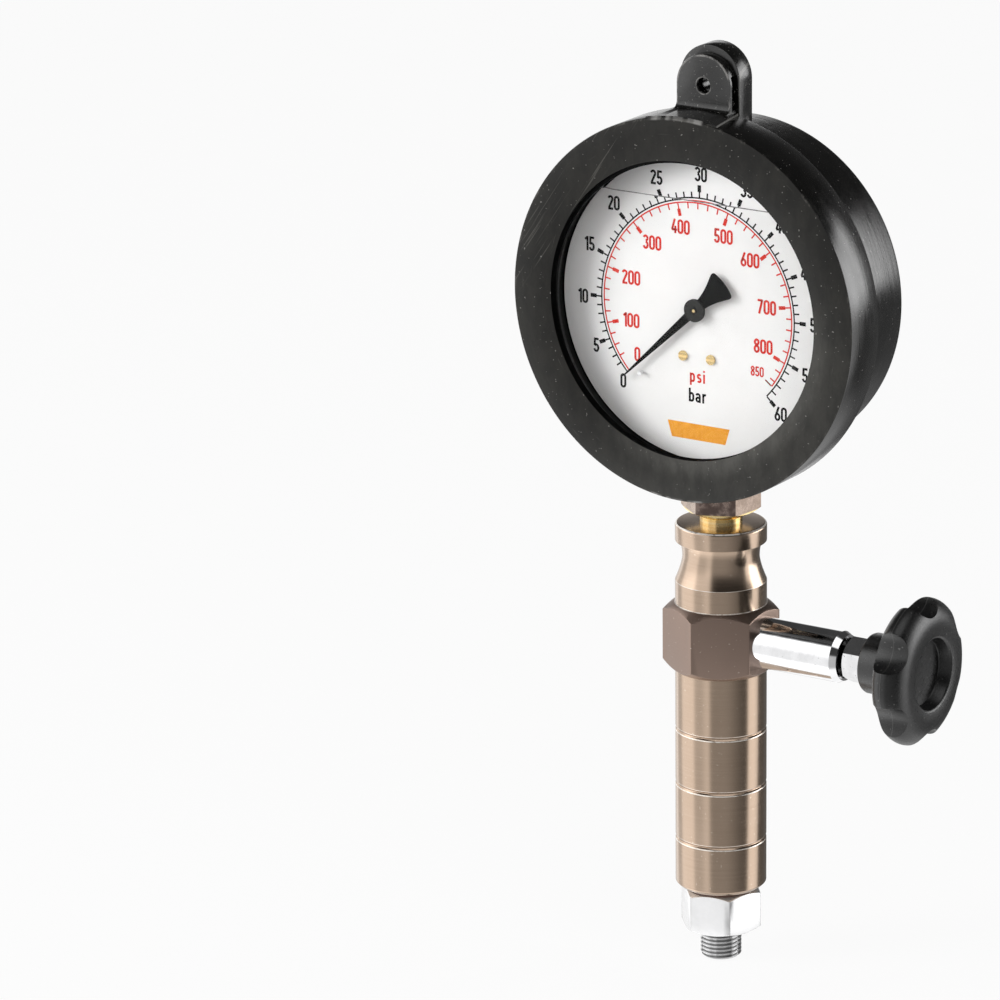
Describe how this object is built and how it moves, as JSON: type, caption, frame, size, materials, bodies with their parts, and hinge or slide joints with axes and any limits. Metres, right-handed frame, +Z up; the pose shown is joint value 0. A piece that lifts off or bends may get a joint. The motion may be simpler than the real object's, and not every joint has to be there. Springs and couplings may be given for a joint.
{
  "type": "compression tester gauge",
  "caption": "Pressure gauge in a rubber boot with a hanging lug, on a turned metal grip with a threaded inlet, a check valve and a side vent valve turned by a scalloped knob.",
  "frame": {"origin": "on the axis of the inlet thread, at the shoulder under the inlet hexagon", "axes": "+Z up along the inlet and grip axis towards the gauge, +X out along the vent valve to its knob, -Y out of the dial towards the reader"},
  "size_m": [0.1377, 0.0474, 0.2991],
  "materials": {
    "body_bronze": "satin",
    "chrome": "polished",
    "steel": "satin",
    "case_black": "satin",
    "brass": "satin",
    "boot_rubber": "matte",
    "seal_rubber": "matte",
    "seal_fibre": "matte",
    "copper": "satin",
    "knob_plastic": "matte",
    "window": "polished",
    "dial_white": "matte",
    "pointer_black": "satin"
  },
  "bodies": {
    "tester": {"inlet_fitting": "chrome", "inlet_seal": "seal_fibre", "check_spring": "steel", "tester_body": "body_bronze", "bonnet_seal": "seal_fibre", "valve_bonnet": "chrome", "gauge_seal_washer": "copper", "gauge_socket": "brass", "restrictor_screw": "brass", "gauge_case": "case_black", "fill_plug": "seal_rubber", "bezel_ring": "case_black", "window_gasket": "seal_rubber", "window": "window", "dial_plate": "dial_white", "dial_screws": "brass", "stop_pin": "brass", "hairspring": "copper", "movement_front_plate": "brass", "movement_back_plate": "brass", "movement_pillars": "brass", "movement_screws": "steel", "bourdon_tube": "copper", "rubber_boot": "boot_rubber"},
    "sector": {"sector_gear": "brass"},
    "pointer": {"pointer": "pointer_black", "pinion_arbor": "brass"},
    "link": {"link_bar": "brass"},
    "tube_tip": {"tube_end_piece": "brass"},
    "needle": {"needle_tip": "steel"},
    "spindle": {"valve_spindle": "steel", "spindle_o_ring": "seal_rubber", "lock_nut": "chrome", "knob": "knob_plastic", "knob_insert": "brass"},
    "poppet": {"check_poppet": "brass", "poppet_o_ring": "seal_rubber"}
  },
  "joints": [
    {"name": "sector_swing", "type": "hinge", "parent": "tester", "child": "sector", "pos_m": [0, 0, 0.1841], "axis": [0, 1, 0], "range_deg": [-27, 0], "stiffness_Nm_per_rad": 0.05, "springref_deg": 5.73},
    {"name": "pointer_spin", "type": "hinge", "parent": "tester", "child": "pointer", "pos_m": [0, 0, 0.2072], "axis": [0, 1, 0], "range_deg": [0, 270], "deforming": ["hairspring"]},
    {"name": "link_swing", "type": "hinge", "parent": "sector", "child": "link", "pos_m": [0.00816, 0, 0.1803], "axis": [0, 1, 0], "range_deg": [0, 32.4]},
    {"name": "tube_flex", "type": "hinge", "parent": "tester", "child": "tube_tip", "pos_m": [0.0033, 0, 0.2261], "axis": [0, 1, 0], "range_deg": [-5.05, 0], "deforming": ["bourdon_tube"]},
    {"name": "valve_lift", "type": "slide", "parent": "tester", "child": "needle", "axis": [1, 0, 0], "range_m": [0, 0.00252]},
    {"name": "valve_turn", "type": "hinge", "parent": "needle", "child": "spindle", "pos_m": [0, 0, 0.09785], "axis": [1, 0, 0], "range_deg": [0, 720]},
    {"name": "poppet_lift", "type": "slide", "parent": "tester", "child": "poppet", "axis": [0, 0, 1], "range_m": [0, 0.0025], "stiffness_N_per_m": 200, "springref_m": -0.003, "deforming": ["check_spring"]}
  ],
  "couplings": [
    {"joint": "pointer_spin", "follows": "sector_swing", "ratio": -10},
    {"joint": "link_swing", "follows": "sector_swing", "ratio": -1.196},
    {"joint": "tube_flex", "follows": "sector_swing", "ratio": 0.1852},
    {"joint": "valve_lift", "follows": "valve_turn", "m_per_rad": 0.00019894}
  ]
}
